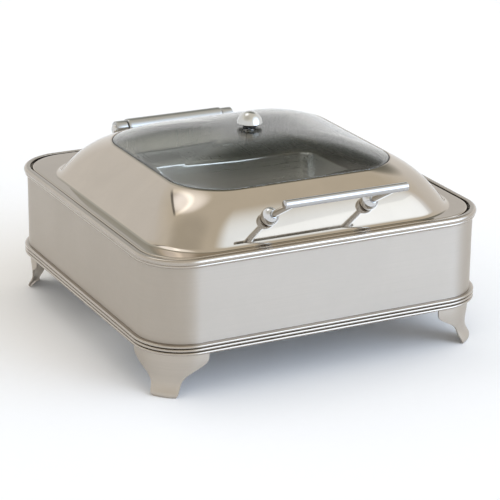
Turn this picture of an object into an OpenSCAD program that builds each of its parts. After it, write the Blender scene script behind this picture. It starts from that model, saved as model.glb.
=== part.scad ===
// Square chafing dish: a hinged lid with a domed glass window, a water pan and
// a food pan, in a skirted stand on four corner feet.
// Millimetres, +Z up. The toes stand on Z = 0 and the handle is on the -Y side.

/* [Stand] */
// Outside width and depth of the skirt
stand_w = 430; // [420:1:440]
// Corner radius of the skirt
stand_r = 55; // [50:1:60]
// Height of the rim's top above the table
rim_top = 164.5; // [163:0.5:168]
// Height of the rim moulding
rim_h = 10; // [9:0.5:11]
// Height of the plinth moulding
plinth_h = 12.6; // [12:0.2:13.2]
// Thickness of the skirt's sheet
sheet_t = 1.2; // [1:0.1:1.4]

/* [Feet] */
// Height of the feet below the plinth
foot_h = 52; // [50:1:54]
// Thickness of the feet
foot_t = 2.2; // [1.8:0.1:2.6]
// Segments across each foot
foot_cols = 16; // [8:2:20]

/* [Pans] */
// Width of the food pan over its flange, two thirds of a standard pan
food_w = 354; // [350:1:356]
// Depth of the food pan from front to back over its flange
food_d = 325; // [320:1:328]
// Height of the food pan
food_h = 58; // [50:1:60]
// Width of the food pan's flange
food_flange = 12; // [10:1:14]
// Height of the water pan
water_h = 68; // [64:1:70]

/* [Lid] */
// Half width of the dome where it meets the lid's flange
dome_x = 192; // [188:1:194]
// Half depth of the dome where it meets the lid's flange
dome_y = 190; // [186:1:190]
// Corner radius of the dome's foot
dome_r = 68; // [62:1:74]
// Distance that the dome's centre is set towards the front
dome_fwd = 12; // [10:1:13]
// Height of the dome from the flange to the glass
dome_h = 50; // [46:1:54]
// Half width of the glass
glass_x = 142; // [138:1:146]
// Half depth of the glass
glass_y = 136; // [132:1:140]
// Corner radius of the glass
glass_r = 62; // [54:1:66]
// Rise of the glass at its middle
glass_rise = 26.7; // [22:0.1:30]
// Roundness of the glass, where higher is flatter on top
glass_power = 2.6; // [2.2:0.1:3.4]
// Segments in each corner of the lid
corner_steps = 12; // [8:1:14]

/* [Handle] */
// Length of the handle bar
bar_l = 156; // [146:1:170]
// Diameter of the handle bar
bar_d = 10; // [9:0.5:12]
// Distance between the two arms
arm_gap = 128; // [118:1:134]
// Diameter of the arms
arm_d = 7.6; // [6:0.2:8]
// Diameter of the ball at each arm's foot
ball_d = 21; // [18:0.5:23]

/* [Hinge] */
// Distance from the stand's middle back to the hinge axis
hinge_back = 204; // [203:0.5:205]
// Height of the hinge axis
hinge_z = 188; // [186:0.5:190]
// Half length of the lid's barrel
barrel_half = 66; // [60:1:66]
// Outer radius of the barrel
barrel_r = 12; // [11:0.5:12.5]
// Radius of the hinge pin
pin_r = 4; // [3:0.5:5]
// Radial clearance of the barrel on its pin
pin_play = 0.05; // [0.02:0.01:0.08]

/* [Burners] */
// Distance of each burner from the middle
burner_x = 88; // [84:1:92]
// Outer radius of a burner cup
cup_r = 40; // [36:1:42]
// Height of a burner cup
cup_h = 33; // [28:1:36]
// Height of the cradle's floor above the table
cradle_z = 14; // [10:1:18]

/* [Hidden] */
$fa = 4;
$fs = 0.6;

stand_half = stand_w / 2;
skirt_z = foot_h + plinth_h;
skirt_top = rim_top - rim_h;
inner_w = stand_w - 2 * sheet_t;
inner_r = stand_r - sheet_t;

// Rim and plinth mouldings, measured outward from the skirt's face
rim_in = 3.6;
rim_bead_r = 3.7;
rim_bead_x = 0.4;
rim_low_r = 1.9;
rim_low_x = 0.9;
plinth_bead_r = 2.35;
plinth_bead_x = 2.8;
plinth_beads = 3;

// Ledge that the pans hang from
ledge_half = 200;
ledge_t = 2;
ledge_drop = 0.2;

// Seat of the water pan's flange
seat_z = skirt_top + 0.4;
pan_t = 1.5;
pan_gap = 1;
pan_w = stand_w - 2 * (rim_in + pan_gap);
pan_r = stand_r - rim_in - pan_gap;
pan_top = seat_z + pan_t;
well_x = 344;
well_y = 315;
well_r = 28;
pan_sheet = 1;
food_r = 30;
food_z = pan_top;
food_sheet = 1;

// Lid flange with its turned-down lip
lid_t = 1.2;
lid_gap = 1.8;
flange_ease = 4;
flange_w = stand_w - 2 * (rim_in + lid_gap);
flange_r = stand_r - rim_in - lid_gap + flange_ease;
flange_top = rim_top - 0.5;
flange_bottom = flange_top - lid_t;
lip_bottom = pan_top + 1.2;

// Section of the dome: a fillet, then a curve up to the glass
fillet_r = 8;
foot_run = 4.2;
fillet_angle = 55;
fillet_steps = 5;
curve_start = 0.07;
curve_steps = 12;
curve_a = [0.281, 0.409];
curve_b = [0.448, 0.732];
dome_run = dome_x - glass_x;
rebate_h = 3.6;
rebate_w = 8;
glass_z = flange_top + dome_h;
glass_edge = 2.2;
glass_t = 4;
glass_steps = 13;
glass_hole = 0.045;
gasket_h = 1.6;
apex_z = glass_z + glass_rise;

// Vent knob
vent_r = 15.5;
vent_rim_z = apex_z + 4.6;
vent_h = 14;
vent_stem_r = 3;
vent_collar_r = 5.4;
vent_grip = 3;
washer_r = 8;
washer_t = 1.2;

// Handle: each arm rises forward from its ball to the bar
ball_y = -190;
ball_z = 191.5;
arm_fwd = 59;
arm_up = 33.5;
seat_angle = 42.5;
seat_depth = 6.4;
arm_len = norm([arm_fwd, arm_up]);
arm_tilt = atan2(arm_up, arm_fwd);
bar_y = ball_y - arm_fwd;
bar_z = ball_z + arm_up;
stud_r = 2.5;
stud_in = 27;

// Hinge
ear_t = 15;
ear_gap = 0.8;
ear_r = 10.5;
ear_x = barrel_half + ear_gap;
ear_front = hinge_back - 9;
ear_rear = hinge_back + 5.5;
notch_play = 1.4;
leaf_w = 112;
leaf_t = 2.5;
leaf_screws = [-44, -15, 15, 44];
leaf_screw_y = hinge_back - 13;
leaf_screw_r = 2;

// Burners
cup_t = 1.2;
lug_r = 6;
lug_y = cup_r + 7;
snuffer_pin_r = 2.5;
snuffer_t = 1.2;
cradle_w = 120;
cradle_t = 1.5;
cradle_top = 84;
cup_z = cradle_z + cradle_t;

// The stand's middle is set back so that the whole object is centred on Y
reach_front = bar_y - bar_d / 2;
reach_rear = stand_half + plinth_bead_x + plinth_bead_r;
stand_y = -(reach_front + reach_rear) / 2;

// ---------- shared shapes ----------

module in_place() {
  translate([0, stand_y, 0]) children();
}

module rounded_rect(w, d, r) {
  square([w - 2 * r, d], center = true);
  square([w, d - 2 * r], center = true);
  for (x = [-1, 1], y = [-1, 1])
    translate([x * (w / 2 - r), y * (d / 2 - r)]) circle(r);
}

module block(w, d, r, z, h) {
  translate([0, 0, z]) linear_extrude(h) rounded_rect(w, d, r);
}

// Runs a section along the skirt's sides: x is outward from its face, y is up
module side_moulding() {
  for (k = [0:3]) rotate(k * 90)
    translate([stand_half, stand_half - stand_r, 0]) rotate([90, 0, 0])
      linear_extrude(stand_w - 2 * stand_r) children();
}

// Runs a section round the skirt's corners
module corner_moulding() {
  for (k = [0:3]) rotate(k * 90)
    translate([stand_half - stand_r, stand_half - stand_r, 0])
      rotate_extrude(angle = 90) translate([stand_r, 0]) children();
}

// Points round a rounded rectangle with half sizes hx and hy
function ring(hx, hy, r, z) = [
  for (q = [0:3], i = [0:corner_steps])
    let (
      a = 90 * (q + i / corner_steps),
      sx = (q == 0 || q == 3) ? 1 : -1,
      sy = q < 2 ? 1 : -1
    )
    [sx * (hx - r) + r * cos(a), sy * (hy - r) + r * sin(a), z]
];

// Closed skin over a loop of rings, listed from the outside round to the inside
module ring_skin(rings) {
  n = len(rings[0]);
  m = len(rings);
  polyhedron(
    points = [for (one = rings) each one],
    faces = [
      for (i = [0:m - 1], j = [0:n - 1])
        let (a = i * n + j, b = i * n + (j + 1) % n, i2 = (i + 1) % m)
        let (c = i2 * n + (j + 1) % n, d = i2 * n + j)
        each [[a, c, b], [a, d, c]]
    ],
    convexity = 6
  );
}

// ---------- stand ----------

module skirt() {
  color("lightgray") in_place() difference() {
    block(stand_w, stand_w, stand_r, skirt_z, skirt_top - skirt_z);
    block(inner_w, inner_w, inner_r, skirt_z - 1, skirt_top - skirt_z + 2);
  }
}

module rim_section() {
  translate([-rim_in, 0]) square([rim_in + rim_bead_x, rim_h]);
  translate([rim_bead_x, rim_h - rim_bead_r]) circle(rim_bead_r);
  translate([rim_low_x, rim_low_r]) circle(rim_low_r);
}

module rim_strips() {
  color("silver") in_place() translate([0, 0, skirt_top]) side_moulding() rim_section();
}

module rim_corners() {
  color("silver") in_place() translate([0, 0, skirt_top]) corner_moulding() rim_section();
}

module plinth_section() {
  pitch = plinth_h / plinth_beads;
  translate([-sheet_t, 0]) square([sheet_t + plinth_bead_x, plinth_h]);
  for (k = [0:plinth_beads - 1])
    intersection() {
      translate([plinth_bead_x, (k + 0.5) * pitch]) circle(plinth_bead_r);
      translate([-sheet_t, 0]) square([stand_r, plinth_h]);
    }
}

module plinth() {
  color("silver") in_place() translate([0, 0, foot_h]) {
    side_moulding() plinth_section();
    corner_moulding() plinth_section();
  }
}

module pan_ledge() {
  color("silver") in_place() difference() {
    block(inner_w, inner_w, inner_r, skirt_top - ledge_drop - ledge_t, ledge_t);
    block(2 * ledge_half, 2 * ledge_half, inner_r, skirt_top - ledge_drop - 2 * ledge_t, 3 * ledge_t);
  }
}

// Height, half width and outward offset of the foot's face, toe to shoulder
foot_rows = [
  [0, 13.5, 1.4], [2, 15, 2.8], [5, 16.4, 2.2], [9, 17.6, -0.2], [14, 19, -2.4],
  [19, 21.5, -3.2], [24, 26, -3.2], [29, 34, -2.8], [33, 42, -2.4], [37, 49, -1.9],
  [41, 52.5, -1.5], [46, 53.5, -1.25], [foot_h, 53.5, -1.25], [foot_h + 20, 53.5, -1.25]
];

// Point on the corner's path: s along it from the corner's middle
function corner_point(s, off) =
  let (
    half_arc = stand_r * PI / 4,
    a = 225 + max(-45, min(45, s / stand_r * 180 / PI)),
    extra = max(0, abs(s) - half_arc),
    c = stand_r - stand_half
  )
  [
    c + (stand_r + off) * cos(a) + (s > 0 ? extra : 0),
    c + (stand_r + off) * sin(a) + (s < 0 ? extra : 0)
  ];

function foot_grid(inset) = [
  for (row = foot_rows, i = [0:foot_cols])
    let (p = corner_point((2 * i / foot_cols - 1) * row[1], row[2] - inset))
    [p[0], p[1], row[0]]
];

module foot(turn) {
  n = foot_cols + 1;
  m = len(foot_rows);
  back = n * m;
  color("silver") in_place() rotate(turn) polyhedron(
    points = concat(foot_grid(0), foot_grid(foot_t)),
    faces = concat(
      [for (j = [0:m - 2], i = [0:n - 2]) let (a = j * n + i)
        each [[a, a + n + 1, a + 1], [a, a + n, a + n + 1]]],
      [for (j = [0:m - 2], i = [0:n - 2]) let (a = back + j * n + i)
        each [[a, a + 1, a + n + 1], [a, a + n + 1, a + n]]],
      [for (i = [0:n - 2]) let (a = i, b = back + i)
        each [[a, a + 1, b + 1], [a, b + 1, b]]],
      [for (i = [0:n - 2]) let (a = (m - 1) * n + i, b = back + a)
        each [[a, b, b + 1], [a, b + 1, a + 1]]],
      [for (j = [0:m - 2]) let (a = j * n, b = back + a)
        each [[a, b, b + n], [a, b + n, a + n]]],
      [for (j = [0:m - 2]) let (a = j * n + n - 1, b = back + a)
        each [[a, a + n, b + n], [a, b + n, b]]]
    ),
    convexity = 6
  );
}

module foot_front_left() { foot(0); }
module foot_front_right() { foot(90); }
module foot_rear_right() { foot(180); }
module foot_rear_left() { foot(270); }

// ---------- burners ----------

module fuel_cradle() {
  wall = stand_half - sheet_t;
  knee = wall - cradle_t;
  color("gray") in_place() difference() {
    translate([0, cradle_w / 2, 0]) rotate([90, 0, 0]) linear_extrude(cradle_w)
      for (s = [-1, 1]) scale([s, 1]) polygon([
        [-1, cradle_z], [150, cradle_z], [wall, skirt_z + 2], [wall, cradle_top],
        [knee, cradle_top], [knee, skirt_z + 3], [149, cup_z], [-1, cup_z]
      ]);
    for (s = [-1, 1], y = [-40, 40]) translate([s * wall, y, cradle_top - 8])
      rotate([0, 90, 0]) cylinder(r = 2, h = 20, center = true);
  }
}

module cradle_rivets() {
  wall = stand_half - sheet_t;
  color("silver") in_place() for (s = [-1, 1], y = [-40, 40])
    translate([s * wall, y, cradle_top - 8]) rotate([0, -90 * s, 0]) {
      cylinder(r = 2, h = cradle_t);
      translate([0, 0, cradle_t]) cylinder(r = 4, h = 1.6);
    }
}

module burner(side) {
  color("silver") in_place() translate([side * burner_x, 0, cup_z]) difference() {
    union() {
      cylinder(r = cup_r, h = cup_h);
      translate([0, lug_y, cup_h - 10]) cylinder(r = lug_r, h = 10);
      translate([-lug_r / 2, cup_r - 2, cup_h - 10]) cube([lug_r, lug_y - cup_r, 10]);
    }
    translate([0, 0, cup_t]) cylinder(r = cup_r - cup_t, h = cup_h);
    translate([0, lug_y, 0]) cylinder(r = snuffer_pin_r, h = cup_h + 1);
  }
}

module burner_left() { burner(-1); }
module burner_right() { burner(1); }

module snuffer_pin(side) {
  color("silver") in_place() translate([side * burner_x, lug_y, cup_z + cup_h - 10]) {
    cylinder(r = snuffer_pin_r, h = 13);
    translate([0, 0, 12.6]) cylinder(r = 5, h = 2);
  }
}

module snuffer_pin_left() { snuffer_pin(-1); }
module snuffer_pin_right() { snuffer_pin(1); }

module snuffer(side) {
  color("gray") in_place() translate([side * burner_x, 0, cup_z + cup_h + 0.6]) difference() {
    union() {
      cylinder(r = cup_r, h = snuffer_t);
      translate([-lug_r, 0, 0]) cube([2 * lug_r, lug_y, snuffer_t]);
      translate([0, lug_y, 0]) cylinder(r = lug_r + 1, h = snuffer_t);
      translate([-8, -cup_r - 9, 0]) cube([16, 18, snuffer_t]);
    }
    translate([0, lug_y, -1]) cylinder(r = snuffer_pin_r + pin_play, h = 4);
  }
}

module snuffer_left() { snuffer(-1); }
module snuffer_right() { snuffer(1); }

// ---------- pans ----------

module water_pan() {
  color("silver") in_place() difference() {
    union() {
      block(pan_w, pan_w, pan_r, seat_z, pan_t);
      translate([0, -dome_fwd, 0])
        block(well_x, well_y, well_r, pan_top - water_h, water_h);
    }
    translate([0, -dome_fwd, 0])
      block(well_x - 2 * pan_sheet, well_y - 2 * pan_sheet, well_r - pan_sheet,
        pan_top - water_h + pan_sheet, water_h);
  }
}

module food_pan() {
  inner_x = food_w - 2 * food_flange;
  inner_y = food_d - 2 * food_flange;
  color("gainsboro") in_place() translate([0, -dome_fwd, 0]) difference() {
    union() {
      block(food_w, food_d, food_r, food_z, food_sheet);
      block(inner_x, inner_y, food_r - 6, food_z + food_sheet - food_h, food_h);
    }
    block(inner_x - 2 * food_sheet, inner_y - 2 * food_sheet, food_r - 6 - food_sheet,
      food_z + 2 * food_sheet - food_h, food_h);
  }
}

module lid_bumpers() {
  reach = pan_w / 2 - pan_r * (1 - cos(45)) - 4.5;
  color("dimgray") in_place() for (x = [-1, 1], y = [-1, 1])
    translate([x * reach, y * reach, pan_top]) cylinder(r = 4, h = 0.8);
}

// ---------- hinge ----------

module hinge_ear(side) {
  color("silver") in_place() translate([side * (ear_x + ear_t / 2), 0, 0]) difference() {
    union() {
      translate([-ear_t / 2, ear_front, pan_top])
        cube([ear_t, ear_rear - ear_front, hinge_z - pan_top]);
      translate([0, hinge_back, hinge_z]) rotate([0, 90, 0])
        cylinder(r = ear_r, h = ear_t, center = true);
    }
    translate([0, hinge_back, hinge_z]) rotate([0, 90, 0])
      cylinder(r = pin_r, h = 2 * ear_t, center = true);
  }
}

module hinge_ear_left() { hinge_ear(-1); }
module hinge_ear_right() { hinge_ear(1); }

module hinge_pin() {
  color("silver") in_place() translate([0, hinge_back, hinge_z]) rotate([0, 90, 0])
    cylinder(r = pin_r, h = 2 * (ear_x + ear_t), center = true);
}

module hinge_cap_nuts() {
  color("silver") in_place() for (s = [-1, 1])
    translate([s * (ear_x + ear_t), hinge_back, hinge_z]) rotate([0, 90 * s, 0])
      intersection() {
        cylinder(r = 7, h = 4);
        translate([0, 0, -4]) sphere(r = 8.5);
      }
}

module hinge_barrel() {
  color("silver") in_place() translate([0, hinge_back, hinge_z]) rotate([0, 90, 0])
    difference() {
      cylinder(r = barrel_r, h = 2 * barrel_half, center = true);
      cylinder(r = pin_r + pin_play, h = 2 * barrel_half + 2, center = true);
    }
}

module hinge_leaf() {
  color("silver") in_place() difference() {
    union() {
      translate([-leaf_w / 2, hinge_back - 17, flange_top]) cube([leaf_w, 22, leaf_t]);
      translate([-leaf_w / 2, hinge_back - 5, flange_top]) cube([leaf_w, 10, hinge_z - flange_top]);
    }
    translate([0, hinge_back, hinge_z]) rotate([0, 90, 0])
      cylinder(r = barrel_r, h = leaf_w + 2, center = true);
    for (x = leaf_screws) translate([x, leaf_screw_y, flange_top - 1])
      cylinder(r = leaf_screw_r, h = leaf_t + 2);
  }
}

module hinge_leaf_screws() {
  color("silver") in_place() for (x = leaf_screws)
    translate([x, leaf_screw_y, flange_bottom]) {
      cylinder(r = leaf_screw_r, h = lid_t + leaf_t);
      translate([0, 0, lid_t + leaf_t]) cylinder(r = 3.6, h = 1.8);
    }
}

// ---------- lid ----------

module lid_flange() {
  ear_mid = ear_x + ear_t / 2;
  notch_w = ear_t + 2 * notch_play;
  notch_front = ear_front - notch_play;
  color("silver") in_place() difference() {
    block(flange_w, flange_w, flange_r, lip_bottom, flange_top - lip_bottom);
    block(flange_w - 2 * lid_t, flange_w - 2 * lid_t, flange_r - lid_t,
      lip_bottom - 1, flange_bottom - lip_bottom + 1);
    translate([0, -dome_fwd, 0])
      block(2 * (dome_x + foot_run + 0.1), 2 * (dome_y + foot_run + 0.1), dome_r + foot_run,
        flange_bottom - 1, lid_t + 2);
    for (s = [-1, 1]) translate([s * ear_mid - notch_w / 2, notch_front, lip_bottom - 1])
      cube([notch_w, stand_half, flange_top]);
    for (x = leaf_screws) translate([x, leaf_screw_y, flange_bottom - 1])
      cylinder(r = leaf_screw_r, h = lid_t + 2);
  }
}

function cubic(t, a, b) = 3 * (1 - t) * (1 - t) * t * a + 3 * (1 - t) * t * t * b + t * t * t;

// Section of the dome's outer face: run inward from its foot, and height
dome_section = concat(
  [for (i = [0:fillet_steps - 1]) let (a = fillet_angle * i / fillet_steps)
    [-foot_run + fillet_r * sin(a), fillet_r * (1 - cos(a))]],
  [for (i = [0:curve_steps]) let (t = curve_start + (1 - curve_start) * i / curve_steps)
    [dome_run * cubic(t, curve_a[0], curve_b[0]), dome_h * cubic(t, curve_a[1], curve_b[1])]]
);

// Direction across the section at point i
function section_normal(i) =
  let (
    last = len(dome_section) - 1,
    p = dome_section[max(0, i - 1)],
    q = dome_section[min(last, i + 1)],
    d = (q - p) / norm(q - p)
  )
  i == 0 ? [0, 1] : [-d[1], d[0]];

// Ring of the dome at a run inward, shrunk by inset, at height z above the flange
function dome_ring(run, inset, z) =
  let (
    f = max(0, run) / dome_run,
    out = min(0, run),
    hx = dome_x + f * (glass_x - dome_x) - out - inset,
    hy = dome_y + f * (glass_y - dome_y) - out - inset,
    r = dome_r + f * (glass_r - dome_r) - out - inset
  )
  ring(hx, hy, r, flange_top + z);

module lid_dome() {
  last = len(dome_section) - 1;
  outer = [for (p = dome_section) dome_ring(p[0], 0, p[1])];
  rebate = [
    dome_ring(dome_run, 0.6, dome_h),
    dome_ring(dome_run, 0.6, dome_h - rebate_h),
    dome_ring(dome_run, rebate_w, dome_h - rebate_h),
    dome_ring(dome_run, rebate_w, dome_h - rebate_h - lid_t),
    dome_ring(dome_run, -1.0, dome_h - rebate_h - lid_t)
  ];
  inner = [for (i = [last - 2:-1:0]) let (p = dome_section[i], n = section_normal(i))
    dome_ring(p[0], -lid_t * n[0], p[1] - lid_t * n[1])];
  color("silver") in_place() translate([0, -dome_fwd, 0])
    ring_skin(concat(outer, rebate, inner));
}

module glass_gasket() {
  z = glass_z - rebate_h;
  color("black") in_place() translate([0, -dome_fwd, 0]) difference() {
    block(2 * (glass_x - 1.2), 2 * (glass_y - 1.2), glass_r - 1.2, z, gasket_h);
    block(2 * (glass_x - 7), 2 * (glass_y - 7), glass_r - 7, z - 1, gasket_h + 2);
  }
}

function glass_ring(s, z_edge, rise) =
  ring(s * (glass_x - 1.4), s * (glass_y - 1.4), s * (glass_r - 1.4),
    z_edge + rise * (1 - pow(s, glass_power)));

function glass_scale(i) = 1 - (1 - glass_hole) * i / glass_steps;

module glass_window() {
  bottom_z = glass_z - rebate_h + gasket_h;
  top_z = bottom_z + glass_edge;
  top = [for (i = [0:glass_steps]) glass_ring(glass_scale(i), top_z, apex_z - top_z)];
  under = [for (i = [glass_steps:-1:0])
    glass_ring(glass_scale(i), bottom_z, apex_z - glass_t - bottom_z)];
  color("lightblue", 0.5) in_place() translate([0, -dome_fwd, 0])
    ring_skin(concat(top, under));
}

// ---------- vent ----------

module at_vent(z) {
  in_place() translate([0, -dome_fwd, z]) children();
}

module vent_stem() {
  foot_z = apex_z - glass_t - washer_t - 6;
  color("silver") at_vent(foot_z) cylinder(r = vent_stem_r, h = vent_rim_z + vent_grip - foot_z);
}

module vent_washers() {
  color("dimgray") for (z = [apex_z + 0.1, apex_z - glass_t - washer_t - 0.1])
    at_vent(z) difference() {
      cylinder(r = washer_r, h = washer_t);
      translate([0, 0, -1]) cylinder(r = vent_stem_r, h = washer_t + 2);
    }
}

module vent_nut() {
  color("silver") at_vent(apex_z - glass_t - washer_t - 4.2) difference() {
    cylinder(r = 6, h = 4, $fn = 6);
    translate([0, 0, -1]) cylinder(r = vent_stem_r, h = 6);
  }
}

module vent_knob() {
  collar_z = apex_z + 0.1 + washer_t;
  cap_r = (vent_r * vent_r + vent_h * vent_h) / (2 * vent_h);
  color("silver") difference() {
    union() {
      at_vent(vent_rim_z) intersection() {
        translate([0, 0, vent_h - cap_r]) sphere(r = cap_r);
        cylinder(r = 2 * vent_r, h = 2 * vent_h);
      }
      at_vent(collar_z) cylinder(r = vent_collar_r, h = vent_rim_z - collar_z + 1);
    }
    at_vent(collar_z - 1) cylinder(r = vent_stem_r, h = vent_rim_z + vent_grip - collar_z + 1);
  }
}

// ---------- handle ----------

// Puts an arm's axis along +Z from the ball's centre on one side
module along_arm(side) {
  in_place() translate([side * arm_gap / 2, ball_y, ball_z])
    rotate([90 - arm_tilt, 0, 0]) children();
}

module handle_ball(side) {
  color("silver") along_arm(side) difference() {
    sphere(d = ball_d);
    cylinder(d = arm_d, h = ball_d);
    translate([0, 0, -ball_d]) cylinder(r = stud_r, h = ball_d);
    rotate([arm_tilt - seat_angle, 0, 0]) translate([0, 0, -seat_depth - ball_d / 2])
      cube(ball_d, center = true);
  }
}

module handle_ball_left() { handle_ball(-1); }
module handle_ball_right() { handle_ball(1); }

module handle_arm(side) {
  color("silver") along_arm(side) cylinder(d = arm_d, h = arm_len);
}

module handle_arm_left() { handle_arm(-1); }
module handle_arm_right() { handle_arm(1); }

module handle_bar() {
  color("silver") difference() {
    in_place() translate([0, bar_y, bar_z]) rotate([0, 90, 0])
      cylinder(d = bar_d, h = bar_l, center = true);
    for (s = [-1, 1]) along_arm(s) cylinder(d = arm_d, h = arm_len);
  }
}

module handle_studs() {
  color("silver") for (s = [-1, 1]) along_arm(s)
    translate([0, 0, -stud_in]) cylinder(r = stud_r, h = stud_in);
}

module handle_nuts() {
  color("silver") for (s = [-1, 1]) along_arm(s)
    translate([0, 0, -stud_in + 1]) difference() {
      cylinder(r = 5, h = 4, $fn = 6);
      translate([0, 0, -1]) cylinder(r = stud_r, h = 6);
    }
}

skirt();
rim_strips();
rim_corners();
plinth();
pan_ledge();
foot_front_left();
foot_front_right();
foot_rear_left();
foot_rear_right();
fuel_cradle();
cradle_rivets();
burner_left();
burner_right();
snuffer_pin_left();
snuffer_pin_right();
snuffer_left();
snuffer_right();
water_pan();
food_pan();
lid_bumpers();
hinge_ear_left();
hinge_ear_right();
hinge_pin();
hinge_cap_nuts();
lid_flange();
lid_dome();
glass_gasket();
glass_window();
vent_stem();
vent_washers();
vent_nut();
vent_knob();
handle_ball_left();
handle_ball_right();
handle_arm_left();
handle_arm_right();
handle_bar();
handle_studs();
handle_nuts();
hinge_barrel();
hinge_leaf();
hinge_leaf_screws();
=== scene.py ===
"""Looks of the square chafing dish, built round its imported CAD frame."""

import math

import bmesh
import bpy
import numpy as np
from mathutils import Matrix, Vector, noise


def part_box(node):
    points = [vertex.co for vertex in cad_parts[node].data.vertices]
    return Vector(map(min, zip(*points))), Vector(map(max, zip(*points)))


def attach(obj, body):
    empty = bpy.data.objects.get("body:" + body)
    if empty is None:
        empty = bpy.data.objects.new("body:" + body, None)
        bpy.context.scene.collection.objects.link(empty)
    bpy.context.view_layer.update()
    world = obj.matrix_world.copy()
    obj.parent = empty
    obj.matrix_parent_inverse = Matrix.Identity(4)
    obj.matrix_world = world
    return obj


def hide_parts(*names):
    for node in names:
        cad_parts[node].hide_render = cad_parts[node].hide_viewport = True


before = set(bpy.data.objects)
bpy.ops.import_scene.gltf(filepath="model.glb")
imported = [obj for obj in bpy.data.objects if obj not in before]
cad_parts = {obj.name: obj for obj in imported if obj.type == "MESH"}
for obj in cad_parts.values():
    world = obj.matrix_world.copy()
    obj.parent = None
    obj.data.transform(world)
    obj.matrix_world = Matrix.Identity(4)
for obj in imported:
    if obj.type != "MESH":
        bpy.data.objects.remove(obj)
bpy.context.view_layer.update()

MM = 0.001


def middle(node):
    lo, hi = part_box(node)
    return (lo + hi) / 2


# ---------- sizes, in millimetres from the stand's middle at table height ----------

STAND_Y = middle("skirt").y
SKIRT_LO, SKIRT_HI = (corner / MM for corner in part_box("skirt"))
HALF = SKIRT_HI.x
CORNER_R = 55.0
SHEET = 1.2
SKIRT_BOTTOM, SKIRT_TOP = SKIRT_LO.z, SKIRT_HI.z
PLINTH_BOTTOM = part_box("plinth")[0].z / MM
RIM_IN = 3.6  # the rim's reach inward past the skirt's outer face

PAN_LO, PAN_HI = (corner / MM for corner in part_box("water_pan"))
PAN_HALF = PAN_HI.x
PAN_R = CORNER_R - RIM_IN - 1.0  # leaves a 1 mm gap inside the rim
PAN_TOP = PAN_HI.z
WELL_X, WELL_Y, WELL_R = 172.0, 157.5, 28.0  # outside of the water pan's well
FOOD_LO, FOOD_HI = (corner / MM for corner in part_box("food_pan"))
FOOD_X, FOOD_Y, FOOD_R = FOOD_HI.x, (FOOD_HI.y - FOOD_LO.y) / 2, 30.0
FORWARD = -12.0  # the pans and the dome sit forward of the stand's middle

FLANGE_LO, FLANGE_HI = (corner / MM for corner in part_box("lid_flange"))
FLANGE_HALF, FLANGE_R = FLANGE_HI.x, PAN_R + 3.2
FLANGE_TOP, LIP_BOTTOM = FLANGE_HI.z, FLANGE_LO.z
LID_T = 1.2
DOME_X, DOME_Y, DOME_R, DOME_H = 192.0, 190.0, 68.0, 50.0
GLASS_X, GLASS_Y, GLASS_R = 142.0, 136.0, 62.0
GLASS_POWER = 2.6  # higher is flatter in the middle
FOOT_RUN, FILLET_R, FILLET_ANGLE = 4.2, 8.0, 55.0  # where the dome meets the flange
CURVE_START = 0.07  # the share of the dome's curve that the fillet takes the place of
CURVE_A, CURVE_B = (0.281, 0.409), (0.448, 0.732)  # handles, as shares of run and height
RUN = DOME_X - GLASS_X
REBATE = 3.6  # depth of the step that the glass lies in
GLASS_TOP_Z = FLANGE_TOP + DOME_H
APEX_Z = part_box("glass_window")[1].z / MM

HINGE = middle("hinge_barrel") / MM - Vector((0, STAND_Y / MM, 0))
BARREL_R, BARREL_HALF = 12.0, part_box("hinge_barrel")[1].x / MM
PIN_R = 4.0


# ---------- mesh code ----------

SAME_POINT = 1e-6  # metres within which two points become one
BEVEL_FROM = 40.0  # degrees at an edge from which a bevel rounds it


def ring(hx, hy, r, z, cy=0.0, arc=20, side=10):
    """Points round a rounded rectangle with half sizes hx and hy, at height z."""
    points = []
    corners = [(1, 1), (-1, 1), (-1, -1), (1, -1)]
    for q, (sx, sy) in enumerate(corners):
        for i in range(arc + 1):
            a = math.radians(90 * (q + i / arc))
            points.append(
                (sx * (hx - r) + r * math.cos(a), sy * (hy - r) + r * math.sin(a) + cy)
            )
        a = math.radians(90 * (q + 1))
        nx, ny = corners[(q + 1) % 4]
        end = (nx * (hx - r) + r * math.cos(a), ny * (hy - r) + r * math.sin(a) + cy)
        start = points[-1]
        for k in range(1, side):
            t = k / side
            points.append(
                (start[0] + (end[0] - start[0]) * t, start[1] + (end[1] - start[1]) * t)
            )
    return np.array([(x, y, z) for x, y in points])


def skin(rows, loop=False, wrap=True, caps=False):
    """Quads over rows of points; loop joins the last row to the first."""
    rows = np.asarray(rows, float)
    m, n = rows.shape[:2]
    faces = []
    for i in range(m if loop else m - 1):
        for j in range(n if wrap else n - 1):
            a, b = i * n + j, i * n + (j + 1) % n
            k = (i + 1) % m
            faces.append((a, b, k * n + (j + 1) % n, k * n + j))
    if caps:
        faces.append(tuple(range(n)))
        faces.append(tuple((m - 1) * n + j for j in range(n)))
    return rows.reshape(-1, 3), faces


def lathe(profile, segments=72, loop=False):
    """A (radius, height) profile turned round Z; caps close an open profile."""
    turn = np.linspace(0, 2 * math.pi, segments, endpoint=False)
    rows = [
        np.stack([r * np.cos(turn), r * np.sin(turn), np.full(segments, h)], 1)
        for r, h in profile
    ]
    return skin(rows, loop=loop, caps=not loop)


def arc_points(cx, cy, r, a0, a1, steps):
    return [
        (cx + r * math.cos(math.radians(a)), cy + r * math.sin(math.radians(a)))
        for a in np.linspace(a0, a1, steps + 1)
    ]


def placed(shape, matrix):
    verts, faces = shape
    return np.array([matrix @ Vector(v) for v in verts]), faces


def joined(*shapes):
    verts, faces, base = [], [], 0
    for v, f in shapes:
        verts.append(np.asarray(v, float))
        faces += [tuple(i + base for i in one) for one in f]
        base += len(v)
    return np.concatenate(verts), faces


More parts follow.
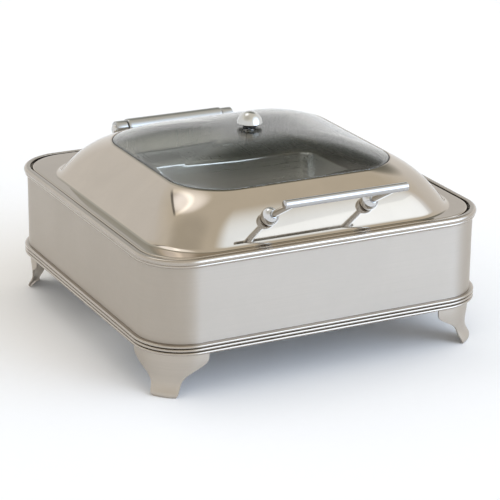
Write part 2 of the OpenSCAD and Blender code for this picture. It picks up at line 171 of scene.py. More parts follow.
def along(axis, at):
    """Matrix that puts a shape's +Z along axis, with its origin at a point."""
    turn = Vector((0, 0, 1)).rotation_difference(Vector(axis)).to_matrix().to_4x4()
    return Matrix.Translation(Vector(at)) @ turn


def mesh_object(name, shape):
    """An object from millimetres about the stand's middle, its faces turned outward."""
    verts, faces = shape
    mesh = bpy.data.meshes.new(name)
    co = np.asarray(verts, float) * MM + np.array([0.0, STAND_Y, 0.0])
    mesh.from_pydata(co.tolist(), [], faces)
    edit = bmesh.new()
    edit.from_mesh(mesh)
    bmesh.ops.remove_doubles(edit, verts=edit.verts, dist=SAME_POINT)
    bmesh.ops.recalc_face_normals(edit, faces=edit.faces)
    edit.to_mesh(mesh)
    edit.free()
    obj = bpy.data.objects.new(name, mesh)
    bpy.context.scene.collection.objects.link(obj)
    return obj


def modified(obj, bevel, cut):
    """Rounds the sharp edges and takes the cutter's boxes away, as plain mesh."""
    if bevel:
        m = obj.modifiers.new("edge", "BEVEL")
        m.width, m.segments, m.limit_method = bevel * MM, 3, "ANGLE"
        m.angle_limit = math.radians(BEVEL_FROM)
    if cut is not None:
        m = obj.modifiers.new("cut", "BOOLEAN")
        m.operation, m.solver, m.object = "DIFFERENCE", "EXACT", cut
    bpy.context.view_layer.update()
    done = obj.evaluated_get(bpy.context.evaluated_depsgraph_get())
    mesh = bpy.data.meshes.new_from_object(done)
    mesh.name = obj.name
    obj.modifiers.clear()
    obj.data = mesh
    if cut is not None:
        bpy.data.objects.remove(cut)


def piece(name, shape, body, look, nodes=(), crease=32.0, bevel=0.0, cut=None):
    """A piece of the object that rides on a body and stands in for CAD nodes."""
    obj = mesh_object(name, shape)
    if bevel or cut is not None:
        modified(obj, bevel, cut)
    mesh = obj.data
    mesh.materials.clear()
    mesh.materials.append(look)
    mesh.shade_smooth()
    mesh.set_sharp_from_angle(angle=math.radians(crease))
    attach(obj, body)
    if nodes:
        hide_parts(*nodes)
    return obj


def cutter(*boxes):
    """An object of boxes for a Boolean cut, which removes it afterwards."""
    shapes = []
    for (x0, y0, z0), (x1, y1, z1) in boxes:
        rows = [
            [(x0, y0, z), (x1, y0, z), (x1, y1, z), (x0, y1, z)] for z in (z0, z1)
        ]
        shapes.append(skin(rows, caps=True))
    return mesh_object("cutter", joined(*shapes))


# ---------- materials ----------


def feed(tree, value, socket):
    """Links another node's socket to this one, or sets it to a plain value."""
    if isinstance(value, bpy.types.NodeSocket):
        tree.links.new(value, socket)
    else:
        socket.default_value = value


class Look:
    """A node material with the shader's sockets and a few helpers."""

    def __init__(self, name):
        self.mat = bpy.data.materials.new(name)
        self.mat.use_nodes = True
        self.nt = self.mat.node_tree
        self.shader = self.nt.nodes["Principled BSDF"]
        self.coords = self.nt.nodes.new("ShaderNodeTexCoord").outputs["Object"]

    def node(self, kind, **inputs):
        """A new node, with its inputs linked or set by name."""
        n = self.nt.nodes.new(kind)
        for key, value in inputs.items():
            feed(self.nt, value, n.inputs[key.replace("_", " ")])
        return n

    def noise(self, scale, stretch=(1, 1, 1), detail=4.0, rough=0.55, warp=0.0, turn=(0, 0, 0)):
        """Noise with so many cells per metre, after stretching the coordinates."""
        mapped = self.node("ShaderNodeMapping", Vector=self.coords, Scale=stretch, Rotation=turn)
        n = self.node(
            "ShaderNodeTexNoise",
            Vector=mapped.outputs[0],
            Scale=scale,
            Detail=detail,
            Roughness=rough,
            Distortion=warp,
        )
        return n.outputs["Fac"]

    def spread(self, fac, low, high, start=0.3, end=0.7):
        """Carries the range from start to end onto the range from low to high."""
        n = self.node(
            "ShaderNodeMapRange", Value=fac, From_Min=start, From_Max=end, To_Min=low, To_Max=high
        )
        return n.outputs["Result"]

    def math(self, op, a, b):
        n = self.nt.nodes.new("ShaderNodeMath")
        n.operation = op
        for socket, value in zip(n.inputs, (a, b)):
            feed(self.nt, value, socket)
        return n.outputs[0]

    def blend(self, fac, dark, light):
        """A colour between two, each a plain colour or another node's socket."""
        n = self.nt.nodes.new("ShaderNodeMix")
        n.data_type = "RGBA"
        self.nt.links.new(fac, n.inputs["Factor"])
        for key, value in (("A", dark), ("B", light)):
            socket = [s for s in n.inputs if s.name == key and s.type == "RGBA"][0]
            plain = not isinstance(value, bpy.types.NodeSocket)
            feed(self.nt, (*value, 1) if plain else value, socket)
        return [s for s in n.outputs if s.type == "RGBA"][0]

    def bump(self, height, strength, distance, under=None):
        """A bumped normal, over another one if it is given."""
        n = self.node("ShaderNodeBump", Height=height, Strength=strength, Distance=distance)
        if under is not None:
            self.nt.links.new(under, n.inputs["Normal"])
        return n.outputs["Normal"]

    def set(self, **inputs):
        for key, value in inputs.items():
            feed(self.nt, value, self.shader.inputs[key.replace("_", " ")])


def tint(colour, k):
    return tuple(min(1.0, c * k) for c in colour)


def brushed(name, colour, rough, stretch, grain, aniso=0.0, bump=0.25):
    """Satin steel: fine lines along the brushing, with faint handling marks."""
    look = Look(name)
    lines = look.noise(grain, stretch, detail=5.0, rough=0.7)
    broad = look.noise(grain * 0.22, stretch, detail=3.0, rough=0.6)
    cloud = look.noise(11.0, detail=3.0, rough=0.5, warp=0.6)
    speck = look.noise(150.0, detail=2.0)
    mixed = look.math("ADD", look.math("MULTIPLY", lines, 0.6), look.math("MULTIPLY", broad, 0.4))
    shade = look.blend(look.spread(mixed, 0, 1), tint(colour, 0.92), tint(colour, 1.06))
    hazy = look.blend(look.spread(cloud, 0, 0.5), shade, tint(colour, 0.97))
    level = look.spread(mixed, rough - 0.06, rough + 0.06)
    level = look.math("ADD", level, look.spread(cloud, -0.02, 0.04))
    level = look.math("ADD", level, look.spread(speck, -0.01, 0.015))
    look.set(Base_Color=hazy, Metallic=1.0, Roughness=level)
    look.set(Normal=look.bump(mixed, bump, 0.00012))
    if aniso:
        look.set(Anisotropic=aniso, Anisotropic_Rotation=0.25)
        tangent = look.nt.nodes.new("ShaderNodeTangent")
        tangent.direction_type, tangent.axis = "RADIAL", "Z"
        look.nt.links.new(tangent.outputs[0], look.shader.inputs["Tangent"])
    return look.mat


def polished(name, colour, rough, wave, wave_scale=9.0):
    """Mirror steel: buffing haze, hairline scratches and the sheet's slight waves."""
    look = Look(name)
    haze = look.noise(16.0, detail=3.0, warp=0.8)
    swirl = look.noise(260.0, (1, 0.12, 1), detail=5.0, rough=0.7, warp=0.4, turn=(0.4, 0.3, 0.8))
    hair = look.noise(900.0, (0.05, 1, 1), detail=2.0, turn=(0.2, 0.7, 0.3))
    waves = look.noise(wave_scale, detail=1.0, rough=0.4)
    level = look.spread(haze, rough - 0.015, rough + 0.03)
    level = look.math("ADD", level, look.spread(swirl, -0.01, 0.02))
    level = look.math("ADD", level, look.spread(hair, 0.0, 0.03, 0.66, 0.8))
    shade = look.blend(look.spread(haze, 0, 1), tint(colour, 0.97), tint(colour, 1.03))
    normal = look.bump(waves, wave, 0.002)
    normal = look.bump(hair, 0.04, 0.00005, normal)
    look.set(Base_Color=shade, Metallic=1.0, Roughness=level, Normal=normal)
    return look.mat


STEEL = (0.47, 0.425, 0.37)
skirt_look = brushed("skirt_satin_steel", STEEL, 0.48, (1, 1, 330), 7.0, aniso=0.75)
foot_look = brushed("foot_satin_steel", tint(STEEL, 1.04), 0.42, (1, 1, 260), 9.0, aniso=0.5)
mould_look = polished("moulding_buffed_steel", tint(STEEL, 0.92), 0.16, 0.05)
lid_look = polished("lid_mirror_steel", (0.455, 0.405, 0.342), 0.045, 0.16, 7.0)
chrome_look = polished("handle_chrome", (0.60, 0.605, 0.61), 0.05, 0.03, 30.0)
vent_look = polished("vent_buffed_steel", (0.56, 0.56, 0.54), 0.15, 0.03, 40.0)
bar_look = brushed("handle_bar_satin", (0.48, 0.475, 0.475), 0.17, (240, 1, 1), 14.0, bump=0.08)
hinge_look = brushed("hinge_satin_steel", (0.43, 0.43, 0.415), 0.3, (1, 220, 220), 9.0)
pan_look = brushed("pan_satin_steel", (0.62, 0.62, 0.60), 0.27, (110, 1, 110), 14.0, bump=0.02)
food_look = brushed("food_pan_satin_steel", (0.65, 0.65, 0.63), 0.3, (1, 110, 110), 14.0, bump=0.02)
inner_look = brushed("inner_mill_steel", (0.50, 0.50, 0.49), 0.42, (90, 1, 90), 10.0)
screw_look = polished("fastener_steel", (0.58, 0.57, 0.55), 0.2, 0.04, 90.0)


def burnt_steel():
    """Burner cups: steel that straws and blues a little towards the flame."""
    look = Look("burner_heat_tinted_steel")
    cloud = look.noise(30.0, detail=5.0, rough=0.65, warp=0.5)
    spun = look.noise(5.0, (1, 1, 220), detail=4.0)
    height = look.node("ShaderNodeSeparateXYZ", Vector=look.coords).outputs["Z"]
    heat = look.spread(height, -0.15, 1.0, 0.03, 0.052)
    heat = look.math("ADD", heat, look.math("MULTIPLY", cloud, 0.25))
    shade = look.blend(heat, (0.50, 0.50, 0.49), (0.46, 0.37, 0.27))
    look.set(Base_Color=shade, Metallic=1.0, Roughness=look.spread(spun, 0.28, 0.44))
    look.set(Normal=look.bump(spun, 0.2, 0.0001))
    return look.mat


def clear_glass():
    """Tempered glass with a faint green body and finger haze."""
    look = Look("lid_tempered_glass")
    haze = look.noise(14.0, detail=5.0, rough=0.6, warp=1.2)
    fine = look.noise(300.0, detail=2.0)
    hazed = look.spread(haze, 0.0, 0.035, 0.5, 0.85)
    level = look.math("ADD", hazed, look.spread(fine, 0.0, 0.006))
    shade = look.blend(look.spread(haze, 0, 1), (0.90, 0.91, 0.875), (0.92, 0.925, 0.895))
    look.set(Base_Color=shade, Roughness=level, Transmission_Weight=1.0, IOR=1.5)
    look.set(Normal=look.bump(look.noise(6.0, detail=1.0), 0.05, 0.001))
    return look.mat


def rubber():
    """Dark silicone with a fine moulded texture and a little dust."""
    look = Look("silicone_seal")
    grain = look.noise(1400.0, detail=3.0)
    dust = look.noise(60.0, detail=4.0, rough=0.7)
    dusted = look.spread(dust, 0, 1, 0.45, 0.8)
    shade = look.blend(dusted, (0.022, 0.022, 0.024), (0.06, 0.058, 0.055))
    look.set(Base_Color=shade, Roughness=look.spread(dust, 0.5, 0.7))
    look.set(Normal=look.bump(grain, 0.2, 0.00008))
    return look.mat


burner_look, glass_look, seal_look = burnt_steel(), clear_glass(), rubber()

# ---------- stand ----------

BEAD, BEAD_R = (0.4, 6.3), 3.7
LOW, LOW_R = (0.9, 1.9), 1.9
RIM_LIP_Z, RIM_LIP_R = 9.4, 0.6
RIM_BREAK = 0.3


def bead_meeting(c0, r0, c1, r1):
    """Angles on two overlapping beads where their faces cross, on the outer side."""
    dx, dy = c1[0] - c0[0], c1[1] - c0[1]
    d = math.hypot(dx, dy)
    along_line = (r0 * r0 - r1 * r1 + d * d) / (2 * d)
    off = math.sqrt(r0 * r0 - along_line * along_line)
    ux, uy = dx / d, dy / d
    x, y = c0[0] + along_line * ux, c0[1] + along_line * uy
    p = max((x - off * uy, y + off * ux), (x + off * uy, y - off * ux))
    return [math.degrees(math.atan2(p[1] - c[1], p[0] - c[0])) for c in (c0, c1)]


def moulding(section, z):
    """A closed (outward, up) section run round the skirt."""
    rows = [
        ring(HALF + x, HALF + x, CORNER_R + x, z + y, arc=40, side=8) for x, y in section
    ]
    return skin(rows, loop=True)


def rim_section():
    """A big bead over a small one, with a flat inner face and a rounded lip."""
    high_end, low_start = bead_meeting(BEAD, BEAD_R, LOW, LOW_R)
    return (
        [(-RIM_IN, RIM_BREAK), (-RIM_IN, RIM_LIP_Z - 0.1)]
        + arc_points(-RIM_IN + RIM_LIP_R, RIM_LIP_Z, RIM_LIP_R, 180, 90, 4)
        + arc_points(*BEAD, BEAD_R, 90, high_end, 22)
        + arc_points(*LOW, LOW_R, low_start, -90, 14)
        + [(-RIM_IN + RIM_BREAK, 0.0)]
    )


PITCH, RIB_X, RIB_OUT, RIB_TALL = 4.2, 2.75, 2.3, 1.86
RIB_ROOT, GROOVE_X, GROOVE_HALF = 1.6, 1.3, 0.16


def plinth_section():
    """Three flattened ribs with a thin groove between each two."""
    section = [(-SHEET, 0.0), (-SHEET, 3 * PITCH), (RIB_ROOT, 3 * PITCH)]
    turn = np.radians(np.linspace(76, -76, 17))
    for k in (2, 1, 0):
        z = (k + 0.5) * PITCH
        section += [(RIB_X + RIB_OUT * math.cos(a), z + RIB_TALL * math.sin(a)) for a in turn]
        if k:
            section += [(GROOVE_X, k * PITCH + GROOVE_HALF), (GROOVE_X, k * PITCH - GROOVE_HALF)]
    return section + [(RIB_ROOT, 0.0)]


piece(
    "rim_moulding", moulding(rim_section(), SKIRT_TOP), "stand", mould_look,
    ("rim_strips", "rim_corners"), crease=40,
)
piece(
    "plinth_moulding", moulding(plinth_section(), PLINTH_BOTTOM), "stand",
    mould_look, ("plinth",), crease=40,
)

DENT, DENT_EDGE = 0.16, 18.0  # depth of the waves, and how far from an edge they fade
BROAD_WAVE, SMALL_WAVE = 0.011, 0.027  # waves per millimetre


def skirt_shape():
    """The sheet skirt, with the slight unevenness of pressed and rolled sheet."""
    levels = np.linspace(SKIRT_BOTTOM + 0.2, SKIRT_TOP - 0.2, 15)
    inner, inner_r = HALF - SHEET, CORNER_R - SHEET
    rows = [ring(HALF, HALF, CORNER_R, z, arc=32, side=28) for z in levels]
    rows += [ring(inner, inner, inner_r, z, arc=32, side=28) for z in levels[::-1]]
    rows = np.array(rows)
    for row in rows:
        for point in row:
            out = Vector((point[0], point[1], 0)).normalized()
            lift = noise.noise(Vector(point) * BROAD_WAVE)
            lift += 0.5 * noise.noise(Vector(point) * SMALL_WAVE + Vector((7, 3, 1)))
            above, below = SKIRT_TOP - point[2], point[2] - SKIRT_BOTTOM
            edge = max(0.0, min(1.0, above / DENT_EDGE, below / DENT_EDGE))
            point[:2] -= np.array(out[:2]) * (DENT + DENT * lift) * edge
    return skin(rows, loop=True)


piece(
    "skirt_sheet", skirt_shape(), "stand", skirt_look, ("skirt",), crease=60
)

# a foot from the table up: height, half width along the corner, offset out from the skirt
FOOT_ROWS = [
    (0, 13.5, 1.4), (2, 15, 2.8), (5, 16.4, 2.2), (9, 17.6, -0.2), (14, 19, -2.4),
    (19, 21.5, -3.2), (24, 26, -3.2), (29, 34, -2.8), (33, 42, -2.4), (37, 49, -1.9),
    (41, 52.5, -1.5), (46, 53.5, -1.25), (52, 53.5, -1.25), (72, 53.5, -1.25),
]
FOOT_T, FOOT_EDGE, FOOT_EDGE_T = 2.2, 0.25, 0.35


def eased(z):
    """The foot's half width and outward offset at height z, smooth through the rows."""
    zs = [row[0] for row in FOOT_ROWS]
    last = len(FOOT_ROWS) - 1
    i = min(max(np.searchsorted(zs, z) - 1, 0), last - 1)
    h = zs[i + 1] - zs[i]
    t = (z - zs[i]) / h
    before, after = FOOT_ROWS[max(i - 1, 0)], FOOT_ROWS[min(i + 2, last)]
    found = []
    for c in (1, 2):
        p0, p1 = FOOT_ROWS[i][c], FOOT_ROWS[i + 1][c]
        slope = (p1 - p0) / h
        m0 = (p1 - before[c]) / (zs[i + 1] - before[0]) if i else slope
        m1 = (after[c] - p0) / (after[0] - zs[i]) if i + 2 <= last else slope
        found.append(
            (2 * t**3 - 3 * t**2 + 1) * p0 + (t**3 - 2 * t**2 + t) * h * m0
            + (-2 * t**3 + 3 * t**2) * p1 + (t**3 - t**2) * h * m1
        )
    return found


def corner_point(s, off, z):
    """A point on the front left corner's path: s along it from its middle, off outward."""
    a = math.radians(225 + max(-45.0, min(45.0, math.degrees(s / CORNER_R))))
    extra = max(0.0, abs(s) - CORNER_R * math.pi / 4)
    c = CORNER_R - HALF
    return (
        c + (CORNER_R + off) * math.cos(a) + (extra if s > 0 else 0),
        c + (CORNER_R + off) * math.sin(a) + (extra if s < 0 else 0),
        z,
    )


def foot_shape(quarter):
    """A pressed sheet foot with rounded edges, turned to its corner."""
    rows = []
    across = np.linspace(-1, 1, 49)
    for z in np.concatenate([np.linspace(0, 50, 61), np.linspace(54, 72, 4)]):
        half, off = eased(z)
        back, flat = off - FOOT_T, half - FOOT_EDGE
        row = [corner_point(k * flat, off, z) for k in across]
        row.append(corner_point(half, off - FOOT_EDGE_T, z))
        row.append(corner_point(half, back + FOOT_EDGE_T, z))
        row += [corner_point(k * flat, back, z) for k in across[::-1]]
        row.append(corner_point(-half, back + FOOT_EDGE_T, z))
        row.append(corner_point(-half, off - FOOT_EDGE_T, z))
        rows.append(row)
    return placed(skin(rows, caps=True), Matrix.Rotation(math.radians(90 * quarter), 4, "Z"))


for quarter, corner in enumerate(("front_left", "front_right", "rear_right", "rear_left")):
    piece(
        "foot_sheet_" + corner, foot_shape(quarter), "stand", foot_look,
        ("foot_" + corner,), crease=50,
    )

# ---------- pans ----------

FLOOR_IN, FLOOR_R, LEAST_R = 40.0, 10.0, 4.0


def tray(flange, mouth, floor_z, top_z, bottom_r, taper, lip_r, edge_drop, sheet=1.0):
    """A pressed pan: flange and mouth as (half x, half y, corner, y shift), open above."""
    fx, fy, fr, fcy = flange
    mx, my, mr, mcy = mouth

    def level(inset, z):
        corner = max(LEAST_R, mr - inset)
        return ring(mx - inset, my - inset, corner, z, mcy)

    def rim(inset, drop):
        return ring(fx - inset, fy - inset, fr - inset, top_z - drop, fcy)

    def floor_ring(z):
        return ring(mx - FLOOR_IN, my - FLOOR_IN, FLOOR_R, z, mcy)

    wall = []
    for a in np.radians(np.linspace(-90, 0, 9)):
        inset = taper + bottom_r * (1 - math.cos(a))
        wall.append((inset, floor_z + bottom_r * (1 + math.sin(a))))
    rows = [floor_ring(floor_z)] + [level(inset, z) for inset, z in wall]
    rows.append(level(0.0, top_z - lip_r))
    for a in np.radians((30, 60, 90)):
        rows.append(level(lip_r * (math.cos(a) - 1), top_z - lip_r * (1 - math.sin(a))))
    for t in (0.15, 0.5, 0.9):
        rows.append((1 - t) * rows[-1] + t * rim(0.6, 0.0))
    rows += [rim(0.6, 0.0), rim(0.15, 0.2), rim(0.0, 0.6)]
    rows += [rim(0.0, sheet + edge_drop - 0.2), rim(sheet, sheet + edge_drop)]
    rows += [rim(sheet + 0.2, sheet)]
    rows += [level(-sheet - lip_r, top_z - sheet), level(-sheet, top_z - lip_r - sheet)]
    rows += [level(inset - sheet, z - sheet) for inset, z in wall[::-1]]
    rows.append(floor_ring(floor_z - sheet))
    return skin(rows, caps=True)


PAN_SHEET, FOOD_LIP = 1.0, 13.0
water_tray = tray(
    (PAN_HALF, PAN_HALF, PAN_R, 0.0),
    (WELL_X - PAN_SHEET, WELL_Y - PAN_SHEET, WELL_R - PAN_SHEET, FORWARD),
    PAN_LO.z + PAN_SHEET, PAN_TOP, bottom_r=9.0, taper=1.5, lip_r=2.0, edge_drop=0.45,
)
food_tray = tray(
    (FOOD_X, FOOD_Y, FOOD_R, FORWARD),
    (FOOD_X - FOOD_LIP, FOOD_Y - FOOD_LIP, FOOD_R - 7.0, FORWARD),
    FOOD_LO.z + PAN_SHEET, FOOD_HI.z, bottom_r=14.0, taper=2.5, lip_r=2.4, edge_drop=0.0,
)
piece(
    "water_pan_pressing", water_tray, "pan_unit", pan_look, ("water_pan",),
    crease=50,
)
piece(
    "food_pan_pressing", food_tray, "pan_unit", food_look, ("food_pan",),
    crease=50,
)

BUMPER_R = 4.0
bumper_profile = [(0.2, 0.8), (2.6, 0.8), (3.3, 0.72), (3.8, 0.45), (BUMPER_R, 0.1)]
bumper_profile += [(BUMPER_R, 0.0), (0.2, 0.0)]
bumper = lathe(bumper_profile, 40)
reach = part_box("lid_bumpers")[1].x / MM - BUMPER_R
bumpers = [
    placed(bumper, Matrix.Translation((sx * reach, sy * reach, PAN_TOP)))
    for sx in (-1, 1)
    for sy in (-1, 1)
]
piece(
    "lid_bumper_pads", joined(*bumpers), "pan_unit", seal_look, ("lid_bumpers",),
    crease=50,
)

# ---------- lid ----------

LIP_R, GLASS_BED = 1.6, 8.0


def cubic(t, a, b):
    return 3 * (1 - t) ** 2 * t * a + 3 * (1 - t) * t * t * b + t**3


def dome_section():
    """(run inward, height) of the dome's outer face from its foot to the glass."""
    points = []
    for a in np.radians(np.linspace(0, FILLET_ANGLE, 12)[:-1]):
        points.append((-FOOT_RUN + FILLET_R * math.sin(a), FILLET_R * (1 - math.cos(a))))
    for t in np.linspace(CURVE_START, 1, 34):
        run = RUN * cubic(t, CURVE_A[0], CURVE_B[0])
        points.append((run, DOME_H * cubic(t, CURVE_A[1], CURVE_B[1])))
    return points


def dome_ring(run, inset, z):
    """The dome's outline at a run inward, drawn in by inset, z above the flange."""
    f, out = max(0.0, run) / RUN, min(0.0, run)
    hx = DOME_X + f * (GLASS_X - DOME_X) - out - inset
    hy = DOME_Y + f * (GLASS_Y - DOME_Y) - out - inset
    r = DOME_R + f * (GLASS_R - DOME_R) - out - inset
    return ring(hx, hy, r, FLANGE_TOP + z, FORWARD, arc=32, side=20)


def lid_shape():
    """One pressed sheet: lip, flange, dome, rebate for the glass, and its inner face."""

    def edge(inset, z):
        half = FLANGE_HALF - inset
        return ring(half, half, FLANGE_R - inset, z, arc=32, side=20)

    section = dome_section()
    rows = [edge(0.6, LIP_BOTTOM), edge(0.15, LIP_BOTTOM + 0.15), edge(0.0, LIP_BOTTOM + 0.6)]
    for a in np.radians(np.linspace(0, 90, 7)):
        rows.append(edge(LIP_R * (1 - math.cos(a)), FLANGE_TOP - LIP_R * (1 - math.sin(a))))
    start, end = rows[-1], dome_ring(section[0][0], 0, section[0][1])
    rows += [start + (end - start) * t for t in (0.12, 0.4, 0.7, 0.92)]
    rows += [dome_ring(run, 0, z) for run, z in section]

    bed = DOME_H - REBATE
    crest = [(0.22, DOME_H - 0.02), (0.45, DOME_H - 0.2), (0.6, DOME_H - 0.6), (0.6, bed)]
    crest += [(GLASS_BED, bed), (GLASS_BED, bed - LID_T), (-1.0, bed - LID_T)]
    rows += [dome_ring(RUN, inset, z) for inset, z in crest]

    for i in range(len(section) - 5, -1, -1):
        p, q = section[max(0, i - 1)], section[i + 1]
        length = math.hypot(q[0] - p[0], q[1] - p[1])
        nx, nz = (-(q[1] - p[1]) / length, (q[0] - p[0]) / length) if i else (0.0, 1.0)
        rows.append(dome_ring(section[i][0], -LID_T * nx, section[i][1] - LID_T * nz))
    rows.append(edge(LID_T + 0.8, FLANGE_TOP - LID_T))
    rows.append(edge(LID_T, FLANGE_TOP - LID_T - 0.8))
    rows.append(edge(LID_T, LIP_BOTTOM + 0.3))
    return skin(rows, loop=True)


EAR_X0, EAR_X1 = BARREL_HALF + 0.8, BARREL_HALF + 15.8
NOTCH_X, NOTCH_HALF, NOTCH_BACK, NOTCH_REACH = 74.3, 8.9, 10.4, 30.0
notches = cutter(*[
    (
        (s * NOTCH_X - NOTCH_HALF, HINGE.y - NOTCH_BACK, LIP_BOTTOM - 2),
        (s * NOTCH_X + NOTCH_HALF, HINGE.y + NOTCH_REACH, FLANGE_TOP + 2),
    )
    for s in (-1, 1)
])
piece(
    "lid_shell", lid_shape(), "lid", lid_look, ("lid_flange", "lid_dome"),
    crease=45, cut=notches,
)

GLASS_EDGE, GLASS_T, BED_T = 1.4, 4.0, 1.6


def glass_shape():
    """The pillowed pane, with a pencil-rounded edge."""
    bottom, top = GLASS_TOP_Z - REBATE + BED_T, GLASS_TOP_Z + 0.2
    rise, under = APEX_Z - top, APEX_Z - GLASS_T - bottom
    half_x, half_y, corner = GLASS_X - GLASS_EDGE, GLASS_Y - GLASS_EDGE, GLASS_R - GLASS_EDGE

    def level(s, edge, lift, inset=0.0):
        z = edge + lift * (1 - s**GLASS_POWER)
        r = max(0.2, s * corner - inset)
        return ring(s * half_x - inset, s * half_y - inset, r, z, FORWARD, arc=20, side=14)

    steps = 1 - 0.97 * np.linspace(0, 1, 44) ** 1.15
    rows = [level(1, top - 0.7, 0), level(1, top - 0.25, 0, 0.12), level(1, top, 0, 0.45)]
    rows += [level(s, top, rise) for s in steps[1:]]
    rows += [level(s, bottom, under) for s in steps[:0:-1]]
    rows += [level(1, bottom, 0, 0.45), level(1, bottom + 0.25, 0, 0.12)]
    rows.append(level(1, bottom + 0.7, 0))
    return skin(rows, loop=True)


piece("glass_pane", glass_shape(), "lid", glass_look, ("glass_window",), crease=60)


def gasket_shape():
    """The silicone bed under the glass, with a thin lip in the seam round it."""
    section = [
        (7.0, 0.3), (6.7, 0.0), (1.2, 0.0), (0.7, 0.2), (0.64, 3.0), (0.8, 3.35),
        (1.2, 3.35), (1.36, 3.0), (1.38, 1.75), (1.6, 1.58), (6.6, 1.58), (7.0, 1.3),
    ]
    rows = []
    for inset, height in section:
        z = GLASS_TOP_Z - REBATE + height
        half_x, half_y, corner = GLASS_X - inset, GLASS_Y - inset, GLASS_R - inset
        rows.append(ring(half_x, half_y, corner, z, FORWARD, arc=32, side=8))
    return skin(rows, loop=True)


piece("glass_seal", gasket_shape(), "lid", seal_look, ("glass_gasket",), crease=50)

# ---------- vent ----------

VENT_RIM = APEX_Z + 4.6
CAP_R, CAP_CENTRE = 15.58, VENT_RIM - 1.58
STEM_BORE, NECK_Z = 3.02, APEX_Z + 1.3
cap_profile = (
    [(0.15, CAP_CENTRE + CAP_R)]
    + arc_points(0, CAP_CENTRE, CAP_R, 84, 12, 23)
    + [(15.4, VENT_RIM + 1.0), (15.5, VENT_RIM + 0.5), (15.25, VENT_RIM + 0.1), (14.8, VENT_RIM)]
    + [(13.6, VENT_RIM + 0.5), (9.0, VENT_RIM + 1.2), (6.4, VENT_RIM + 0.9)]
    + [(5.5, VENT_RIM - 0.2), (5.0, VENT_RIM - 1.6), (5.1, VENT_RIM - 2.6)]
    + [(5.4, NECK_Z + 0.2), (5.2, NECK_Z), (STEM_BORE, NECK_Z)]
    + [(STEM_BORE, VENT_RIM + 3.0), (0.15, VENT_RIM + 3.0)]
)
cap = placed(lathe(cap_profile, 96), Matrix.Translation((0, FORWARD, 0)))
piece("vent_cap", cap, "lid", vent_look, ("vent_knob",), crease=35)

# ---------- handle ----------

BAR_LO, BAR_HI = (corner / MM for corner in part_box("handle_bar"))
bar_mid = (BAR_LO + BAR_HI) / 2 - Vector((0, STAND_Y / MM, 0))
BAR_HALF, BAR_R, ARM_R, BALL_R = BAR_HI.x, 5.0, 3.8, 10.5
BALL_Y, BALL_Z, ARM_X = -190.0, 191.5, 64.0
ARM_ANGLE, SEAT_ANGLE, SEAT_DEPTH = 29.6, 42.5, 6.3
arm_dir = Vector((0, bar_mid.y - BALL_Y, bar_mid.z - BALL_Z))
ARM_LEN = arm_dir.length
arm_dir.normalize()
FLARE_Z, FLARE_LEN = ARM_LEN - 8.0, 5.2


def forward_up(degrees):
    """Unit vector towards the front, raised by an angle."""
    a = math.radians(degrees)
    return Vector((0, -math.cos(a), math.sin(a)))


def bar_shape():
    """The grip, with a shallow step and a broken edge at each end."""
    end = [(0.1, 0.0), (2.4, 0.0), (2.7, 0.12), (4.3, 0.12), (4.75, 0.3), (BAR_R, 0.8)]
    profile = [(r, -BAR_HALF + h) for r, h in end]
    profile += [(BAR_R, x) for x in np.linspace(-BAR_HALF + 2, BAR_HALF - 2, 40)]
    profile += [(r, BAR_HALF - h) for r, h in end[::-1]]
    return placed(lathe(profile, 56), along((1, 0, 0), bar_mid))


def arm_shape(foot):
    """A round rod that flares where it meets the bar."""
    profile = [(0.1, 4.0), (ARM_R, 4.0), (ARM_R, FLARE_Z)]
    profile += [(ARM_R + k * k * 0.9, FLARE_Z + FLARE_LEN * k) for k in (0.35, 0.6, 0.8, 1.0)]
    profile.append((0.1, ARM_LEN - 2.4))
    return placed(lathe(profile, 48), along(arm_dir, foot))


def ball_shape(foot):
    """A ball with a collar for the arm, its underside laid flat on the dome."""
    profile = [(0.1, -SEAT_DEPTH), (7.9, -SEAT_DEPTH), (8.35, 0.3 - SEAT_DEPTH)]
    profile += arc_points(0, 0, BALL_R, -33, 56, 25)
    profile += [(5.2, 9.35), (4.7, 9.6), (4.3, 9.45), (ARM_R + 0.02, 9.2), (0.1, 9.2)]
    verts, faces = placed(lathe(profile, 64), along(forward_up(ARM_ANGLE), foot))
    seat = np.array(forward_up(SEAT_ANGLE))
    depth = (verts - np.array(foot)) @ seat
    low = depth < -SEAT_DEPTH
    verts[low] += np.outer(-SEAT_DEPTH - depth[low], seat)
    return verts, faces


piece("handle_grip", bar_shape(), "lid", bar_look, ("handle_bar",), crease=35)
for side, name in ((-1, "left"), (1, "right")):
    foot = (side * ARM_X, BALL_Y, BALL_Z)
    piece(
        "handle_arm_rod_" + name, arm_shape(foot), "lid", chrome_look,
        ("handle_arm_" + name,), crease=35,
    )
    piece(
        "handle_ball_boss_" + name, ball_shape(foot), "lid", chrome_look,
        ("handle_ball_" + name,), crease=35,
    )

# ---------- hinge ----------

SEAM_ANGLE, SEAM_WIDTH, SEAM_DEPTH = -100.0, 0.035, 0.6
LEAF_HALF, LEAF_BACK, LEAF_T = 56.0, 17.0, 2.5
EAR_BACK, EAR_R, EAR_WAIST = 9.0, 10.5, 5.5


